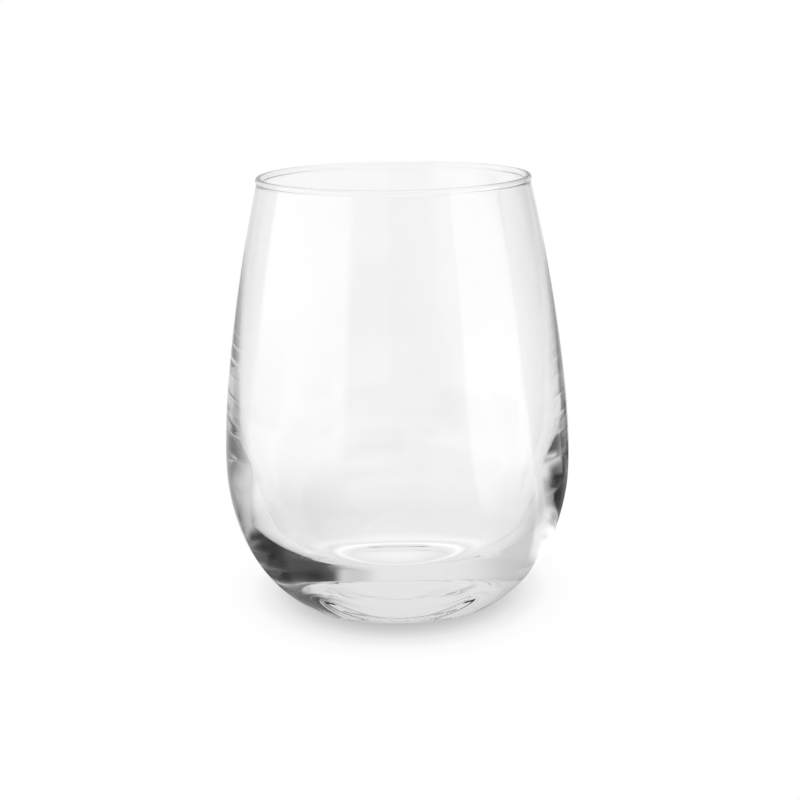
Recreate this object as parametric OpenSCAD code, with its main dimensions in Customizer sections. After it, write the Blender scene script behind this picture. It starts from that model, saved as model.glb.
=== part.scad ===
// Stemless wine glass: one piece of clear glass, a half outline turned about Z.
// The outline is a closed chain of arcs and one short line, each tangent to the next:
// push-up, standing ring, foot, heel, wall, shoulder, lip bead, and back down the inside.
// Origin: centre of the standing ring, on the table. Z points up out of the mouth.

/* [Overall] */
// Height from the table to the top of the lip
height = 115; // [100:0.5:130]
// Outside diameter at the belly, the widest place
belly_d = 90; // [80:0.5:100]
// Height at which the heel ends and the wall starts
heel_h = 21.2; // [18:0.2:26]
// How far the lip's outer edge lies inside the belly, on the radius
lip_in = 9; // [7:0.1:11]

/* [Outside] */
// Radius of the arc just above the belly
belly_r = 195; // [150:5:260]
// Angle that this arc turns through before the flatter shoulder starts, in degrees
belly_turn = 5.4; // [4:0.2:6.6]
// Radius of the arc just below the belly
wall_r = 55.5; // [50:0.5:62]
// Angle that the arc below the belly turns through before the heel starts, in degrees
wall_turn = 21.5; // [18:0.5:25]
// Radius of the foot, where the heel rolls down on to the table
foot_r = 13; // [10:0.5:15]

/* [Glass thickness] */
// Thickness of the wall just under the lip
lip_wall = 1.1; // [0.8:0.05:1.6]
// Thickness of the wall where the cavity is widest
side_wall = 2.7; // [1.8:0.1:3.6]
// Thickness of the base on the axis, from the push-up to the inner floor
base_wall = 8.3; // [6:0.1:10]

/* [Lip] */
// How far the fire-polished bead stands out from the wall on the outside
bead_outside = 0.5; // [0.2:0.05:0.8]
// How far the bead stands out from the wall on the inside
bead_inside = 0.1; // [0.05:0.05:0.4]
// Radius of the hollow between the bead and the wall
neck_r = 1; // [0.5:0.1:2]

/* [Inside] */
// Height of the cavity's widest place above the belly
cavity_lift = 12; // [6:0.5:16]
// Radius of the cavity's arc below its widest place
cavity_r = 66; // [56:1:76]
// Angle that this arc turns through before the cavity's heel starts, in degrees
cavity_turn = 24; // [20:0.5:28]
// Radius of the dished inner floor
floor_r = 81; // [60:1:100]

/* [Standing ring] */
// How far the flat ring's outer edge lies inside the belly, on the radius
ring_in = 27.2; // [25:0.2:30]
// Width of the flat ring that the glass stands on
ring_w = 1.8; // [1:0.1:4]
// Radius of the rounding between the ring and the push-up
ring_round = 3; // [1.5:0.1:5]
// Rise of the push-up at the axis
push_up = 1.6; // [1:0.1:3]

/* [Hidden] */
// Furthest that a chord of the outline may lie from its true arc
chord_error = 0.02;
// Sides of the turned surface where it is drawn as a mesh
$fn = 120;

// Unit vectors of the half outline: away from the axis, and up
out = [1, 0];
up = [0, 1];

// Unit vector at an angle above the outward direction
function toward(angle) = [cos(angle), sin(angle)];

// The point that lies r from one point on the line through another
function on_line(from, through, r) = from + r * (through - from) / norm(through - from);

// Radius of the arc that leaves point p square to the direction n and touches a circle.
// A circle that bulges the other way, such as a hollow's, takes a negative r.
function touching_r(p, n, centre, r) =
    ((p - centre) * (p - centre) - r * r) / (2 * (n * (p - centre) - r));

// The point at distances r1 and r2 from two centres, on the right going from the first to the second
function meeting(centre1, r1, centre2, r2) =
    let (
        gap = norm(centre2 - centre1),
        along = (r1 * r1 - r2 * r2 + gap * gap) / (2 * gap),
        aside = sqrt(r1 * r1 - along * along),
        ahead = (centre2 - centre1) / gap
    )
    centre1 + along * ahead + aside * [ahead[1], -ahead[0]];

// Points of the arc that goes the short way from one point to another, with chords that keep to
// chord_error. The first point is left out, because the chain has it from the arc before.
function arc(centre, from, to) =
    let (
        spoke = from - centre,
        last = to - centre,
        r = norm(spoke),
        start = atan2(spoke[1], spoke[0]),
        turn = atan2(spoke[0] * last[1] - spoke[1] * last[0], spoke * last),
        steps = ceil(abs(turn) / (2 * acos(1 - chord_error / r)))
    )
    [for (i = [1 : steps]) i < steps ? centre + r * toward(start + turn * i / steps) : to];

// Lip bead
bead_r = (lip_wall + bead_outside + bead_inside) / 2;
bead_shift = (bead_outside - bead_inside) / 2;
belly_out = belly_d / 2;
lip_top = [belly_out - lip_in - bead_r, height];
bead_centre = lip_top - bead_r * up;

// Outside, from the table up
ring_outer = [belly_out - ring_in, 0];
foot_centre = ring_outer + foot_r * up;
belly = [belly_out, heel_h + wall_r * sin(wall_turn)];
low_centre = belly - wall_r * out;
heel_top = low_centre + wall_r * toward(-wall_turn);
heel_r = touching_r(heel_top, toward(-wall_turn), foot_centre, foot_r);
heel_centre = heel_top - heel_r * toward(-wall_turn);
foot_top = on_line(heel_centre, foot_centre, heel_r);
high_centre = belly - belly_r * out;
belly_top = high_centre + belly_r * toward(belly_turn);
shoulder_r = touching_r(belly_top, toward(belly_turn), bead_centre, lip_wall / 2 - bead_shift);
shoulder_centre = belly_top - shoulder_r * toward(belly_turn);
neck_centre = meeting(shoulder_centre, shoulder_r + neck_r, bead_centre, bead_r + neck_r);
shoulder_top = on_line(shoulder_centre, neck_centre, shoulder_r);
neck_top = on_line(bead_centre, neck_centre, bead_r);

// Inside, from the mouth down
outside_at_cavity = high_centre[0] + sqrt(belly_r * belly_r - cavity_lift * cavity_lift);
cavity_side = [outside_at_cavity - side_wall, belly[1] + cavity_lift];
cavity_high_r = touching_r(cavity_side, out, bead_centre, -(lip_wall / 2 + bead_shift));
cavity_high_centre = cavity_side - cavity_high_r * out;
cavity_neck_centre =
    meeting(cavity_high_centre, cavity_high_r - neck_r, bead_centre, bead_r + neck_r);
cavity_neck_top = on_line(bead_centre, cavity_neck_centre, bead_r);
cavity_top = on_line(cavity_high_centre, cavity_neck_centre, cavity_high_r);
cavity_low_centre = cavity_side - cavity_r * out;
cavity_heel_top = cavity_low_centre + cavity_r * toward(-cavity_turn);
floor_low = [0, push_up + base_wall];
floor_centre = floor_low + floor_r * up;
cavity_heel_r = touching_r(cavity_heel_top, toward(-cavity_turn), floor_centre, floor_r);
cavity_heel_centre = cavity_heel_top - cavity_heel_r * toward(-cavity_turn);
floor_edge = on_line(floor_centre, cavity_heel_centre, floor_r);

// Underside, from the axis out to the standing ring
ring_inner = ring_outer - ring_w * out;
round_centre = ring_inner + ring_round * up;
dome_top = [0, push_up];
dome_r = touching_r(dome_top, up, round_centre, -ring_round);
dome_centre = dome_top - dome_r * up;
dome_edge = on_line(dome_centre, round_centre, dome_r);

function underside() = concat(
    [dome_top],
    arc(dome_centre, dome_top, dome_edge),
    arc(round_centre, dome_edge, ring_inner),
    [ring_outer]
);

function outside() = concat(
    arc(foot_centre, ring_outer, foot_top),
    arc(heel_centre, foot_top, heel_top),
    arc(low_centre, heel_top, belly),
    arc(high_centre, belly, belly_top),
    arc(shoulder_centre, belly_top, shoulder_top)
);

function lip() = concat(
    arc(neck_centre, shoulder_top, neck_top),
    arc(bead_centre, neck_top, lip_top),
    arc(bead_centre, lip_top, cavity_neck_top),
    arc(cavity_neck_centre, cavity_neck_top, cavity_top)
);

function inside() = concat(
    arc(cavity_high_centre, cavity_top, cavity_side),
    arc(cavity_low_centre, cavity_side, cavity_heel_top),
    arc(cavity_heel_centre, cavity_heel_top, floor_edge),
    arc(floor_centre, floor_edge, floor_low)
);

module half_section() {
    polygon(concat(underside(), outside(), lip(), inside()));
}

module stemless_glass() {
    color([0.93, 0.96, 0.95, 0.35])
        rotate_extrude()
            half_section();
}

stemless_glass();
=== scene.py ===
# Stemless wine glass in clear glass, on a pale table in soft studio light
import math
import bmesh
import bpy
from mathutils import Matrix, Vector


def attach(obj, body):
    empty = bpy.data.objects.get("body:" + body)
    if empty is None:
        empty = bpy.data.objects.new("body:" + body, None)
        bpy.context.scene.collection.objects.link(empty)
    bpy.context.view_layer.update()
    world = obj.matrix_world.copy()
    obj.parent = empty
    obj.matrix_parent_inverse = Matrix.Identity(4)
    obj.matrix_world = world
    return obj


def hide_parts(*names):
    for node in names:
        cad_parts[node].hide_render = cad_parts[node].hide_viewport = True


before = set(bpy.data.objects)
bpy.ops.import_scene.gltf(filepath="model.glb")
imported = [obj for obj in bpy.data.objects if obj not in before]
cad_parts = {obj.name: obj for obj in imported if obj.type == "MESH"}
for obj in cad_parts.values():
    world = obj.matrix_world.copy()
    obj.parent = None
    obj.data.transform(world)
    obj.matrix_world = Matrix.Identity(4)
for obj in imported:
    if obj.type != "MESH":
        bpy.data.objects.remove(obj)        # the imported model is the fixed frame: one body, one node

mm = 0.001
halfTurn, quarterTurn = 180, 90
onAxis = 0.001           # a point less than this many millimetres from the axis lies on it
betweenDepths = 0.5      # a ray's depths are whole numbers, so this tells none from any
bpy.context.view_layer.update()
print("frame loaded:", len(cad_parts), "node")

# The glass's half outline: driving sizes in millimetres and degrees
glassSizes = {
    "height": 115, "bellyWidth": 90, "heelHeight": 21.2, "lipIn": 9,
    "bellyRadius": 195, "bellyTurn": 5.4, "wallRadius": 55.5, "wallTurn": 21.5, "footRadius": 13,
    "lipWall": 1.1, "sideWall": 2.7, "baseWall": 8.3,
    "beadOutside": 0.5, "beadInside": 0.1, "neckRadius": 1,
    "cavityLift": 12, "cavityRadius": 66, "cavityTurn": 24, "floorRadius": 81,
    "ringIn": 27.2, "ringWidth": 1.8, "ringRound": 3, "pushUp": 1.6,
    "chordError": 0.002, "longestChord": 1.5, "turns": 288,
}
outward, upward = Vector((1, 0)), Vector((0, 1))


def toward(angle):
    return Vector((math.cos(math.radians(angle)), math.sin(math.radians(angle))))


def onLine(start, through, reach):
    return start + reach * (through - start).normalized()


# Radius of the arc that leaves a point square to a direction and touches a circle
def touchingRadius(point, normal, centre, radius):
    gap = point - centre
    return (gap.dot(gap) - radius * radius) / (2 * (normal.dot(gap) - radius))


def meeting(centreA, radiusA, centreB, radiusB):
    gap = (centreB - centreA).length
    along = (radiusA * radiusA - radiusB * radiusB + gap * gap) / (2 * gap)
    aside = math.sqrt(radiusA * radiusA - along * along)
    ahead = (centreB - centreA) / gap
    return centreA + along * ahead + aside * Vector((ahead[1], -ahead[0]))


# The short way round a centre; the first point is left out, because the arc before has it
def arc(centre, start, end):
    spoke, last = start - centre, end - centre
    radius = spoke.length
    first = math.degrees(math.atan2(spoke[1], spoke[0]))
    turn = math.degrees(math.atan2(spoke[0] * last[1] - spoke[1] * last[0], spoke.dot(last)))
    step = min(math.degrees(2 * math.acos(1 - glassSizes["chordError"] / radius)),
               math.degrees(glassSizes["longestChord"] / radius))
    steps = max(1, math.ceil(abs(turn) / step))
    return [centre + radius * toward(first + turn * i / steps) for i in range(1, steps)] + [end]


def glassOutline(s):
    # lip bead
    beadRadius = (s["lipWall"] + s["beadOutside"] + s["beadInside"]) / 2
    beadShift = (s["beadOutside"] - s["beadInside"]) / 2
    lipTop = Vector((s["bellyWidth"] / 2 - s["lipIn"] - beadRadius, s["height"]))
    bead = lipTop - beadRadius * upward

    # outside, from the table up
    ringOuter = Vector((s["bellyWidth"] / 2 - s["ringIn"], 0))
    foot = ringOuter + s["footRadius"] * upward
    bellyHeight = s["heelHeight"] + s["wallRadius"] * math.sin(math.radians(s["wallTurn"]))
    belly = Vector((s["bellyWidth"] / 2, bellyHeight))
    low = belly - s["wallRadius"] * outward
    heelWay = toward(-s["wallTurn"])
    heelTop = low + s["wallRadius"] * heelWay
    heelRadius = touchingRadius(heelTop, heelWay, foot, s["footRadius"])
    heel = heelTop - heelRadius * heelWay
    footTop = onLine(heel, foot, heelRadius)
    high = belly - s["bellyRadius"] * outward
    shoulderWay = toward(s["bellyTurn"])
    bellyTop = high + s["bellyRadius"] * shoulderWay
    shoulderRadius = touchingRadius(bellyTop, shoulderWay, bead, s["lipWall"] / 2 - beadShift)
    shoulder = bellyTop - shoulderRadius * shoulderWay
    neck = meeting(shoulder, shoulderRadius + s["neckRadius"], bead, beadRadius + s["neckRadius"])
    shoulderTop = onLine(shoulder, neck, shoulderRadius)
    neckTop = onLine(bead, neck, beadRadius)

    # inside, from the mouth down
    outsideAtCavity = high[0] + math.sqrt(s["bellyRadius"] ** 2 - s["cavityLift"] ** 2)
    side = Vector((outsideAtCavity - s["sideWall"], bellyHeight + s["cavityLift"]))
    cavityHighRadius = touchingRadius(side, outward, bead, -(s["lipWall"] / 2 + beadShift))
    cavityHigh = side - cavityHighRadius * outward
    cavityNeck = meeting(cavityHigh, cavityHighRadius - s["neckRadius"], bead, beadRadius + s["neckRadius"])
    cavityNeckTop = onLine(bead, cavityNeck, beadRadius)
    cavityTop = onLine(cavityHigh, cavityNeck, cavityHighRadius)
    cavityLow = side - s["cavityRadius"] * outward
    cavityHeelWay = toward(-s["cavityTurn"])
    cavityHeelTop = cavityLow + s["cavityRadius"] * cavityHeelWay
    floorLow = Vector((0, s["pushUp"] + s["baseWall"]))
    floor = floorLow + s["floorRadius"] * upward
    cavityHeelRadius = touchingRadius(cavityHeelTop, cavityHeelWay, floor, s["floorRadius"])
    cavityHeel = cavityHeelTop - cavityHeelRadius * cavityHeelWay
    floorEdge = onLine(floor, cavityHeel, s["floorRadius"])

    # underside, from the axis out to the standing ring
    ringInner = ringOuter - s["ringWidth"] * outward
    ringRound = ringInner + s["ringRound"] * upward
    domeTop = Vector((0, s["pushUp"]))
    domeRadius = touchingRadius(domeTop, upward, ringRound, -s["ringRound"])
    dome = domeTop - domeRadius * upward
    domeEdge = onLine(dome, ringRound, domeRadius)

    points = [domeTop] + arc(dome, domeTop, domeEdge) + arc(ringRound, domeEdge, ringInner) + [ringOuter]
    points += arc(foot, ringOuter, footTop) + arc(heel, footTop, heelTop) + arc(low, heelTop, belly)
    points += arc(high, belly, bellyTop) + arc(shoulder, bellyTop, shoulderTop)
    points += arc(neck, shoulderTop, neckTop) + arc(bead, neckTop, lipTop) + arc(bead, lipTop, cavityNeckTop)
    points += arc(cavityNeck, cavityNeckTop, cavityTop) + arc(cavityHigh, cavityTop, side)
    points += arc(cavityLow, side, cavityHeelTop) + arc(cavityHeel, cavityHeelTop, floorEdge)
    return points + arc(floor, floorEdge, floorLow)


def turnOnAxis(name, outline, turns):
    mesh = bmesh.new()
    angles = [2 * math.pi * k / turns for k in range(turns)]
    rings = []
    for radius, height in outline:
        if abs(radius) < onAxis:
            rings.append([mesh.verts.new((0, 0, height * mm))])
            continue
        rings.append([mesh.verts.new((radius * mm * math.cos(a), radius * mm * math.sin(a), height * mm))
                      for a in angles])
    for near, far in zip(rings, rings[1:]):
        for k in range(turns):
            following = (k + 1) % turns
            corners = [near[k % len(near)], near[following % len(near)],
                       far[following % len(far)], far[k % len(far)]]
            mesh.faces.new(list(dict.fromkeys(corners)))      # the poles give triangles
    bmesh.ops.recalc_face_normals(mesh, faces=mesh.faces)
    for face in mesh.faces:
        face.smooth = True
    data = bpy.data.meshes.new(name)
    mesh.to_mesh(data)
    mesh.free()
    piece = bpy.data.objects.new(name, data)
    bpy.context.scene.collection.objects.link(piece)
    return piece


# Sets what a node does; a socket or a plain value may stand in for each of its inputs
def feed(tree, kind, operation, values):
    node = tree.nodes.new(kind)
    node.operation = operation
    for socket, value in zip(node.inputs, values):
        if isinstance(value, bpy.types.NodeSocket):
            tree.links.new(value, socket)
        else:
            socket.default_value = value
    return node


def maths(tree, operation, *values):
    return feed(tree, "ShaderNodeMath", operation, values).outputs["Value"]


def vectors(tree, operation, *values):
    node = feed(tree, "ShaderNodeVectorMath", operation, values)
    return node.outputs["Value" if operation == "LENGTH" else "Vector"]


# A smooth step from 0 to 1 as the value goes from one end to the other
def fade(tree, value, start, end):
    node = tree.nodes.new("ShaderNodeMapRange")
    node.interpolation_type = "SMOOTHSTEP"
    node.inputs["From Min"].default_value = start
    node.inputs["From Max"].default_value = end
    tree.links.new(value, node.inputs["Value"])
    return node.outputs["Result"]


# Clear glass: refraction, tone where it is thin and thick, and the faint waves of moulded glass
glassFinish = {
    "refraction": 1.52, "thinTone": (0.998, 0.999, 0.998, 1), "thickTone": (0.992, 0.995, 0.993, 1),
    "thickBelow": 16, "thinAbove": 34,
    "waveLength": 16, "waveHeight": 0.006, "waveTall": 0.1, "waveDetail": 1,
    "polish": 0.0, "haze": 0.012, "hazeLength": 7, "hazeDetail": 4, "hazeFrom": 0.45, "hazeFull": 0.75,
}


def makeMouldGroup(f):
    group = bpy.data.node_groups.new("mouldedGlass", "ShaderNodeTree")
    for label in ("Wave Length", "Wave Tall", "Haze Length", "Polish", "Haze"):
        group.interface.new_socket(label, in_out="INPUT", socket_type="NodeSocketFloat")
    for label in ("Wave", "Roughness"):
        group.interface.new_socket(label, in_out="OUTPUT", socket_type="NodeSocketFloat")
    nodes, links = group.nodes, group.links
    given, out = nodes.new("NodeGroupInput"), nodes.new("NodeGroupOutput")
    where = nodes.new("ShaderNodeTexCoord")
    stretch = nodes.new("ShaderNodeCombineXYZ")       # waves run longer up the wall than round it
    stretch.inputs["X"].default_value = stretch.inputs["Y"].default_value = 1
    links.new(given.outputs["Wave Tall"], stretch.inputs["Z"])
    place = vectors(group, "MULTIPLY", where.outputs["Object"], stretch.outputs["Vector"])
    wave = nodes.new("ShaderNodeTexNoise")
    wave.inputs["Detail"].default_value = f["waveDetail"]
    links.new(place, wave.inputs["Vector"])
    links.new(maths(group, "DIVIDE", 1, given.outputs["Wave Length"]), wave.inputs["Scale"])
    links.new(wave.outputs["Fac"], out.inputs["Wave"])
    haze = nodes.new("ShaderNodeTexNoise")
    haze.inputs["Detail"].default_value = f["hazeDetail"]
    links.new(where.outputs["Object"], haze.inputs["Vector"])
    links.new(maths(group, "DIVIDE", 1, given.outputs["Haze Length"]), haze.inputs["Scale"])
    spots = fade(group, haze.outputs["Fac"], f["hazeFrom"], f["hazeFull"])
    rough = maths(group, "MULTIPLY_ADD", spots, given.outputs["Haze"], given.outputs["Polish"])
    links.new(rough, out.inputs["Roughness"])
    return group


def makeGlassMaterial(f):
    material = bpy.data.materials.new("clearGlass")
    material.use_nodes = True
    tree = material.node_tree
    nodes, links = tree.nodes, tree.links
    shader = nodes["Principled BSDF"]
    shader.inputs["Transmission Weight"].default_value = 1
    shader.inputs["Metallic"].default_value = 0
    shader.inputs["IOR"].default_value = f["refraction"]

    # the thick base has a slightly deeper tone than the wall
    where = nodes.new("ShaderNodeTexCoord")
    parts = nodes.new("ShaderNodeSeparateXYZ")
    links.new(where.outputs["Object"], parts.inputs[0])
    tone = nodes.new("ShaderNodeMix")
    tone.data_type = "RGBA"
    tone.inputs["A"].default_value = f["thickTone"]
    tone.inputs["B"].default_value = f["thinTone"]
    upTheGlass = fade(tree, parts.outputs["Z"], f["thickBelow"] * mm, f["thinAbove"] * mm)
    links.new(upTheGlass, tone.inputs["Factor"])
    links.new(tone.outputs["Result"], shader.inputs["Base Color"])

    mould = nodes.new("ShaderNodeGroup")
    mould.node_tree = makeMouldGroup(f)
    mould.inputs["Wave Length"].default_value = f["waveLength"] * mm
    mould.inputs["Wave Tall"].default_value = f["waveTall"]
    mould.inputs["Haze Length"].default_value = f["hazeLength"] * mm
    mould.inputs["Polish"].default_value = f["polish"]
    mould.inputs["Haze"].default_value = f["haze"]
    links.new(mould.outputs["Roughness"], shader.inputs["Roughness"])
    bump = nodes.new("ShaderNodeBump")
    bump.inputs["Distance"].default_value = f["waveHeight"] * mm
    links.new(mould.outputs["Wave"], bump.inputs["Height"])
    links.new(bump.outputs["Normal"], shader.inputs["Normal"])
    return material


# The studio as the glass mirrors it, inside its wall and on its outer face, in degrees. Azimuth turns
# from straight behind the glass to the right, and elevation is taken from a point on the axis at
# eyeHeight, in millimetres. Each card has half sizes, soft edges and a light, and a later card covers
# an earlier one. The cards, base lights and seenThrough weren't chosen by hand: another program fitted
# them to the grey levels of the photograph. They suit its view and stand for no real lamps.
studio = {
    "eyeHeight": 60, "seenThrough": 0.95,
    "inside": {"base": 0.81, "cards": {
        "backRight": {"azimuth": 22, "elevation": 6, "halfWidth": 8, "halfHeight": 26,
                     "softSides": 6, "softEnds": 2, "light": 0.6},
        "leftWall": {"azimuth": -84, "elevation": -28, "halfWidth": 36, "halfHeight": 66,
                    "softSides": 22, "softEnds": 20, "light": 0.6},
        "leftLow": {"azimuth": -88, "elevation": -13, "halfWidth": 54, "halfHeight": 7,
                   "softSides": 12, "softEnds": 7, "light": 1.65},
        "cameraTop": {"azimuth": 162, "elevation": 34, "halfWidth": 53, "halfHeight": 17,
                     "softSides": 15, "softEnds": 2, "light": 0.45},
        "cameraSide": {"azimuth": 175, "elevation": 0, "halfWidth": 37, "halfHeight": 14,
                      "softSides": 8, "softEnds": 3, "light": 0},
        "blackFlag": {"azimuth": 107, "elevation": 8, "halfWidth": 76, "halfHeight": 10,
                     "softSides": 4, "softEnds": 5, "light": 0.1},
        "blackFlagTop": {"azimuth": 63, "elevation": 39, "halfWidth": 28, "halfHeight": 23,
                        "softSides": 21, "softEnds": 2, "light": 0},
        "rightHigh": {"azimuth": 94, "elevation": 28, "halfWidth": 58, "halfHeight": 26,
                     "softSides": 10, "softEnds": 1, "light": 0.05},
        "rightBox": {"azimuth": 142, "elevation": 20, "halfWidth": 21, "halfHeight": 17,
                    "softSides": 20, "softEnds": 7, "light": 0.7},
        "leftFoot": {"azimuth": -90, "elevation": -52, "halfWidth": 34, "halfHeight": 19,
                    "softSides": 16, "softEnds": 2, "light": 1},
        "leftGap": {"azimuth": -85, "elevation": -17, "halfWidth": 68, "halfHeight": 8,
                   "softSides": 5, "softEnds": 15, "light": 0},
        "rightShade": {"azimuth": 60, "elevation": -53, "halfWidth": 21, "halfHeight": 11,
                      "softSides": 22, "softEnds": 3, "light": 0.45},
        "frontGlow": {"azimuth": 173, "elevation": -46, "halfWidth": 51, "halfHeight": 10,
                     "softSides": 17, "softEnds": 4, "light": 1.65},
        "leftFootGlow": {"azimuth": -99, "elevation": -24, "halfWidth": 43, "halfHeight": 14,
                        "softSides": 20, "softEnds": 5, "light": 1.15},
        "leftCameraFlag": {"azimuth": -141, "elevation": -1, "halfWidth": 22, "halfHeight": 9,
                          "softSides": 21, "softEnds": 5, "light": 0},
        "rightFlagTop": {"azimuth": 85, "elevation": 9, "halfWidth": 46, "halfHeight": 5,
                        "softSides": 8, "softEnds": 5, "light": 0},
        "cameraLow": {"azimuth": -170, "elevation": -14, "halfWidth": 15, "halfHeight": 7,
                     "softSides": 2, "softEnds": 5, "light": 0},
        "rightFootFlag": {"azimuth": 97, "elevation": -39, "halfWidth": 18, "halfHeight": 4,
                         "softSides": 6, "softEnds": 2, "light": 0.3},
        "leftWallShade": {"azimuth": -82, "elevation": -9, "halfWidth": 15, "halfHeight": 6,
                         "softSides": 2, "softEnds": 2, "light": 0.4},
    }},
    "outside": {"base": 0.77, "cards": {
        "tableDark": {"azimuth": -180, "elevation": -68, "halfWidth": 200, "halfHeight": 20,
                     "softSides": 3, "softEnds": 3, "light": 0.4},
        "leftWindow": {"azimuth": -106, "elevation": 7, "halfWidth": 39, "halfHeight": 11,
                      "softSides": 4, "softEnds": 18, "light": 2.75},
        "rightWindow": {"azimuth": 108, "elevation": -6, "halfWidth": 24, "halfHeight": 23,
                       "softSides": 2, "softEnds": 7, "light": 2.15},
        "leftTableDark": {"azimuth": -76, "elevation": -44, "halfWidth": 33, "halfHeight": 17,
                         "softSides": 6, "softEnds": 4, "light": 0.05},
        "rightTableDark": {"azimuth": 43, "elevation": -23, "halfWidth": 33, "halfHeight": 6,
                          "softSides": 1, "softEnds": 1, "light": 0.1},
        "rightFarDark": {"azimuth": 34, "elevation": -13, "halfWidth": 11, "halfHeight": 5,
                        "softSides": 2, "softEnds": 2, "light": 0},
        "rightFootWindow": {"azimuth": 60, "elevation": -40, "halfWidth": 28, "halfHeight": 6,
                           "softSides": 3, "softEnds": 8, "light": 2.65},
    }},
}


# The light that comes from one direction, with the cards laid over the base light in their order
def cardLight(group, azimuth, elevation, f):
    light = f["base"]
    for card in f["cards"].values():
        turned = maths(group, "SUBTRACT", azimuth, card["azimuth"])
        swing = maths(group, "ABSOLUTE", maths(group, "WRAP", turned, halfTurn, -halfTurn))
        lift = maths(group, "ABSOLUTE", maths(group, "SUBTRACT", elevation, card["elevation"]))
        wide, softSides = card["halfWidth"], card["softSides"]
        tall, softEnds = card["halfHeight"], card["softEnds"]
        side = fade(group, swing, wide + softSides, wide - softSides)
        ends = fade(group, lift, tall + softEnds, tall - softEnds)
        cover = maths(group, "MULTIPLY", side, ends)
        rest = maths(group, "MULTIPLY", maths(group, "SUBTRACT", 1, cover), light)
        light = maths(group, "MULTIPLY_ADD", cover, card["light"], rest)
    return light


def makeStudioGroup(f):
    group = bpy.data.node_groups.new("studioCards", "ShaderNodeTree")
    group.interface.new_socket("Direction", in_out="INPUT", socket_type="NodeSocketVector")
    for label in ("Inside", "Outside"):
        group.interface.new_socket(label, in_out="OUTPUT", socket_type="NodeSocketFloat")
    nodes, links = group.nodes, group.links
    given, out = nodes.new("NodeGroupInput"), nodes.new("NodeGroupOutput")
    parts = nodes.new("ShaderNodeSeparateXYZ")
    links.new(vectors(group, "NORMALIZE", given.outputs["Direction"]), parts.inputs[0])
    azimuth = maths(group, "DEGREES", maths(group, "ARCTAN2", parts.outputs["X"], parts.outputs["Y"]))
    elevation = maths(group, "DEGREES", maths(group, "ARCSINE", parts.outputs["Z"]))
    links.new(cardLight(group, azimuth, elevation, f["inside"]), out.inputs["Inside"])
    links.new(cardLight(group, azimuth, elevation, f["outside"]), out.inputs["Outside"])
    return group


# One of two values, by a switch that is 0 or 1
def choose(tree, switch, off, on):
    return maths(tree, "MULTIPLY_ADD", switch, maths(tree, "SUBTRACT", on, off), off)


# Rays that the glass has mirrored see the cards, rays that it has only bent see the plain studio
# behind it, and the camera itself sees the white of the photograph
def pickLight(tree, cards, bent, straight):
    path = tree.nodes.new("ShaderNodeLightPath")
    unbent = maths(tree, "LESS_THAN", path.outputs["Transmission Depth"], betweenDepths)
    cardsSeen = choose(tree, unbent, cards.outputs["Inside"], cards.outputs["Outside"])
    # On the table, bent rays see painted rings of light and shade, and the camera sees the painted contact
    # shadow
    unmirroredLight = choose(tree, path.outputs["Is Camera Ray"], bent, straight)
    mirrored = maths(tree, "GREATER_THAN", path.outputs["Glossy Depth"], betweenDepths)
    return choose(tree, mirrored, unmirroredLight, cardsSeen)


def makeWorld(group, seenThrough):
    world = bpy.data.worlds.new("studio")
    bpy.context.scene.world = world
    world.use_nodes = True
    world.cycles.sampling_method = "NONE"
    tree = world.node_tree
    tree.nodes.clear()
    where = tree.nodes.new("ShaderNodeTexCoord")
    cards = tree.nodes.new("ShaderNodeGroup")
    cards.node_tree = group
    tree.links.new(where.outputs["Generated"], cards.inputs["Direction"])
    background = tree.nodes.new("ShaderNodeBackground")
    out = tree.nodes.new("ShaderNodeOutputWorld")
    tree.links.new(pickLight(tree, cards, seenThrough, 1), background.inputs["Color"])
    tree.links.new(background.outputs["Background"], out.inputs["Surface"])


# The white table, in millimetres and brightness; it lies a hair below the standing ring. The camera
# sees the soft contact shadow, whose centre is shifted behind the glass and whose sides are squeezed,
# and through the glass the table shows painted rings of light and shade by the distance from the axis.
# The shadow is painted, not cast. Its squeeze and shift and the lights of both lists come from such a
# fit too; the distances were chosen.
tableFinish = {
    "radius": 3000, "edges": 96, "below": 0.02, "squeeze": 0.5, "shift": 30,
    "shadow": ((37, 0.35), (43, 0.41), (50, 0.52), (58, 0.63), (68, 0.82), (80, 0.96), (95, 1)),
    "paintedLightAndShadeBelow": ((0, 0.97), (8, 0.94), (12, 0.88), (15, 0.82), (17, 0.9), (19, 1.13), (22, 0.76),
                   (26, 0.94), (32, 0.81), (40, 0.8), (50, 0.8), (62, 0.84), (80, 0.91), (118, 0.95)),
}


# Brightness by the distance from a centre, squeezed sideways and read off a few stops
def ringsOfLight(tree, place, centre, squeeze, stops):
    centred = vectors(tree, "SUBTRACT", place, centre)
    stretched = vectors(tree, "MULTIPLY", centred, (1 / squeeze, 1, 0))
    last = stops[-1][0]
    ramp = tree.nodes.new("ShaderNodeValToRGB")
    tree.links.new(maths(tree, "DIVIDE", vectors(tree, "LENGTH", stretched), last * mm), ramp.inputs["Fac"])
    while len(ramp.color_ramp.elements) < len(stops):
        ramp.color_ramp.elements.new(1)
    for stop, (reach, light) in zip(ramp.color_ramp.elements, stops):
        stop.position = reach / last
        stop.color = (light, light, light, 1)
    return ramp.outputs["Color"]


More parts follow.
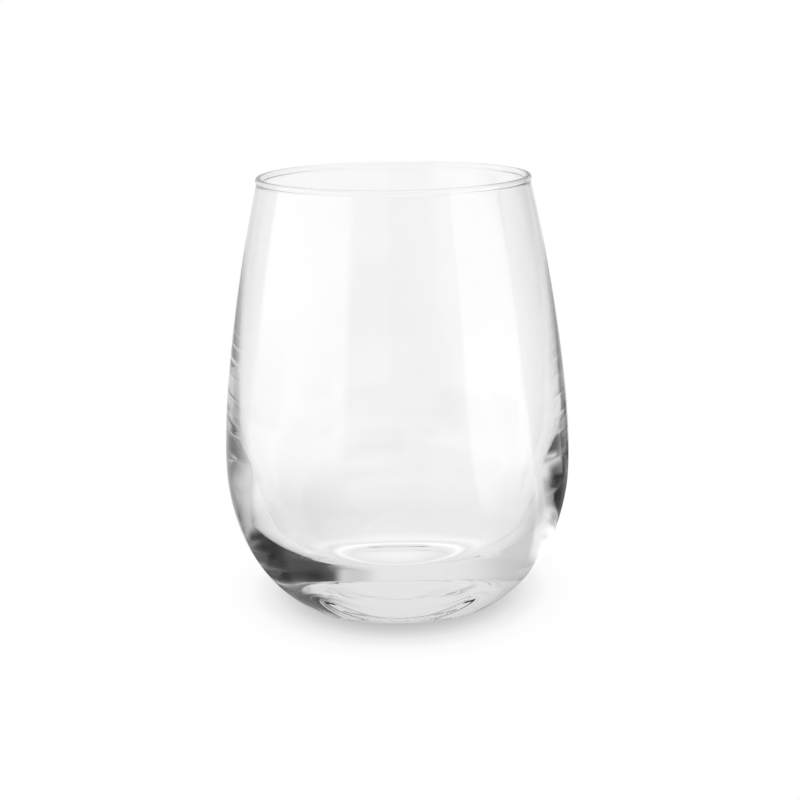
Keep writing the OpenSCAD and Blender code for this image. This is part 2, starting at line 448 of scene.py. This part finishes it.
def makeTable(f, group, eyeHeight):
    mesh = bmesh.new()
    bmesh.ops.create_circle(mesh, cap_ends=True, radius=f["radius"] * mm, segments=f["edges"])
    data = bpy.data.meshes.new("table")
    mesh.to_mesh(data)
    mesh.free()
    table = bpy.data.objects.new("table", data)
    bpy.context.scene.collection.objects.link(table)
    table.location.z = -f["below"] * mm
    # The table glows: white, with a painted contact shadow and painted rings of light and shade
    material = bpy.data.materials.new("whiteTableWithPaintedLightAndShade")
    material.use_nodes = True
    material.cycles.emission_sampling = "NONE"
    tree = material.node_tree
    nodes, links = tree.nodes, tree.links
    nodes.clear()
    place = nodes.new("ShaderNodeNewGeometry").outputs["Position"]
    cards = nodes.new("ShaderNodeGroup")
    cards.node_tree = group
    # Rays the glass mirrors see the studio cards on the table, so cards below the horizon are painted light
    # and painted shade on it
    links.new(vectors(tree, "SUBTRACT", place, (0, 0, eyeHeight * mm)), cards.inputs["Direction"])
    shadow = ringsOfLight(tree, place, (0, f["shift"] * mm, 0), f["squeeze"], f["shadow"])
    # painted rings of light and shade under the glass, seen only through it
    paintedLightAndShadeBelow = ringsOfLight(tree, place, (0, 0, 0), 1, f["paintedLightAndShadeBelow"])
    glow = nodes.new("ShaderNodeEmission")
    out = nodes.new("ShaderNodeOutputMaterial")
    links.new(pickLight(tree, cards, paintedLightAndShadeBelow, shadow), glow.inputs["Color"])
    links.new(glow.outputs["Emission"], out.inputs["Surface"])
    data.materials.append(material)
    return table


# The photograph's camera: metres, degrees, and a focal length in pixels of the 800 pixel frame
viewPoint = {
    "distance": 1.09152, "height": 0.23259, "down": 9.203, "turn": 0.045, "roll": 0.861,
    "focal": 4215.6, "framePixels": 800, "sensor": 36, "clipStart": 0.01,
}


def makeCamera(f):
    data = bpy.data.cameras.new("camera")
    camera = bpy.data.objects.new("camera", data)
    bpy.context.scene.collection.objects.link(camera)
    data.sensor_width = f["sensor"]
    data.lens = f["focal"] / f["framePixels"] * f["sensor"]
    data.clip_start = f["clipStart"]
    turn = Matrix.Rotation(math.radians(-f["turn"]), 4, "Z")
    tilt = Matrix.Rotation(math.radians(quarterTurn - f["down"]), 4, "X")
    roll = Matrix.Rotation(math.radians(-f["roll"]), 4, "Z")
    camera.matrix_world = Matrix.Translation((0, -f["distance"], f["height"])) @ turn @ tilt @ roll
    bpy.context.scene.camera = camera


glass = turnOnAxis("glass", glassOutline(glassSizes), glassSizes["turns"])
glass.data.materials.append(makeGlassMaterial(glassFinish))
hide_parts("stemless_glass")
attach(glass, "root")
print("glass turned:", len(glass.data.vertices), "vertices")

studioGroup = makeStudioGroup(studio)
makeWorld(studioGroup, studio["seenThrough"])
table = makeTable(tableFinish, studioGroup, studio["eyeHeight"])
makeCamera(viewPoint)
cardCount = sum(len(studio[side]["cards"]) for side in ("inside", "outside"))
print("studio set:", cardCount, "cards, table and camera")

# light meets many faces of the glass before it leaves
bounces = 32
scene = bpy.context.scene
scene.view_settings.view_transform = "Standard"
scene.cycles.max_bounces = bounces
scene.cycles.transmission_bounces = bounces
scene.cycles.glossy_bounces = bounces
